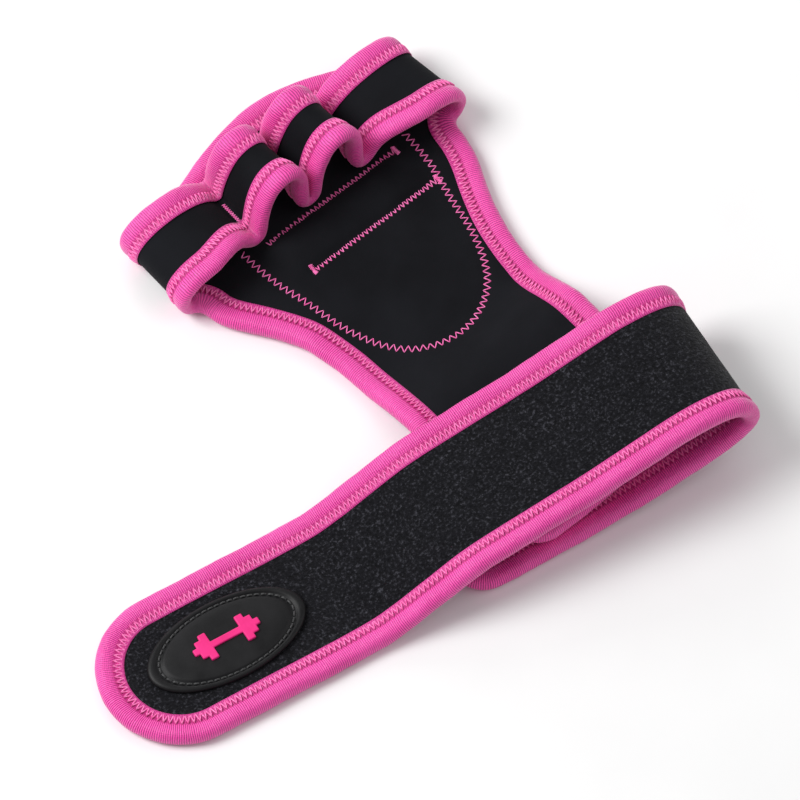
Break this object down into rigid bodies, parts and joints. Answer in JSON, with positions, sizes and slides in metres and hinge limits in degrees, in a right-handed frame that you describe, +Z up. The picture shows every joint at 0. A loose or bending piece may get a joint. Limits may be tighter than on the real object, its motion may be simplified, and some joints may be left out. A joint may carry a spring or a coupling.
{
  "type": "fingerless gym grip with wrist wrap",
  "caption": "Fingerless palm grip: a flat padded palm panel with finger loops at one end and a bound hook-and-loop wrist wrap folded once round the other.",
  "frame": {"origin": "centre of the footprint, on the surface that the grip lies on", "axes": "+X along the wrist strap from its free end to its fold, +Y from the wrist towards the fingers, +Z up from the surface"},
  "size_m": [0.2124, 0.1806, 0.034],
  "materials": {
    "plush_loop": "matte brushed loop pile",
    "foam": "matte closed-cell foam",
    "jersey": "matte fine jersey bonded to foam",
    "binding": "satin ribbed stretch tape",
    "thread": "satin sewing thread",
    "emblem": "satin moulded rubber",
    "badge_rubber": "satin moulded rubber",
    "grip_rubber": "matte textured rubber",
    "hook": "matte nylon hook pile"
  },
  "bodies": {
    "wrist_band": {"strap_core_back": "foam", "strap_plush_back": "plush_loop", "strap_lining_back": "jersey", "strap_binding_back": "binding", "panel_core_wrist": "foam", "panel_shell_wrist": "jersey", "panel_liner_wrist": "jersey", "panel_binding_wrist": "binding"},
    "front_wrap": {"strap_core_front": "foam", "strap_plush_front": "plush_loop", "strap_lining_front": "jersey", "strap_binding_front_lower": "binding", "strap_binding_front_upper": "binding"},
    "strap_tip": {"strap_core_tip": "foam", "strap_plush_tip": "plush_loop", "strap_lining_tip": "jersey", "strap_binding_tip": "binding", "hook_tape": "hook", "badge": "badge_rubber", "badge_stitch": "thread", "badge_emblem": "emblem"},
    "palm": {"panel_core_palm": "foam", "panel_shell_palm": "jersey", "panel_liner_palm": "jersey", "panel_binding_left": "binding", "panel_binding_right": "binding", "panel_binding_finger": "binding", "grip_pad": "grip_rubber", "channel_foam": "foam", "stitch_pad_outline": "thread", "stitch_channel_lower": "thread", "stitch_channel_upper": "thread", "bar_tack_lower_left": "thread", "bar_tack_lower_right": "thread", "bar_tack_upper_right": "thread", "finger_strip": "jersey", "strip_binding_wrist": "binding", "strip_binding_finger": "binding", "loop_seam_1": "thread", "loop_seam_2": "thread", "loop_seam_3": "thread"}
  },
  "joints": [
    {"name": "wrap_peel", "type": "hinge", "parent": "wrist_band", "child": "front_wrap", "pos_m": [0.10623, -0.06497, 0.02057], "axis": [0, 1, 0], "range_deg": [0, 150]},
    {"name": "tip_lift", "type": "hinge", "parent": "front_wrap", "child": "strap_tip", "pos_m": [-0.03337, -0.06497, 0.00527], "axis": [0, 1, 0], "range_deg": [0, 75]},
    {"name": "wrist_flex", "type": "hinge", "parent": "wrist_band", "child": "palm", "pos_m": [0.0511, -0.03237, 0.01453], "axis": [0.982, 0.1608, 0.0995], "range_deg": [0, 60]}
  ]
}
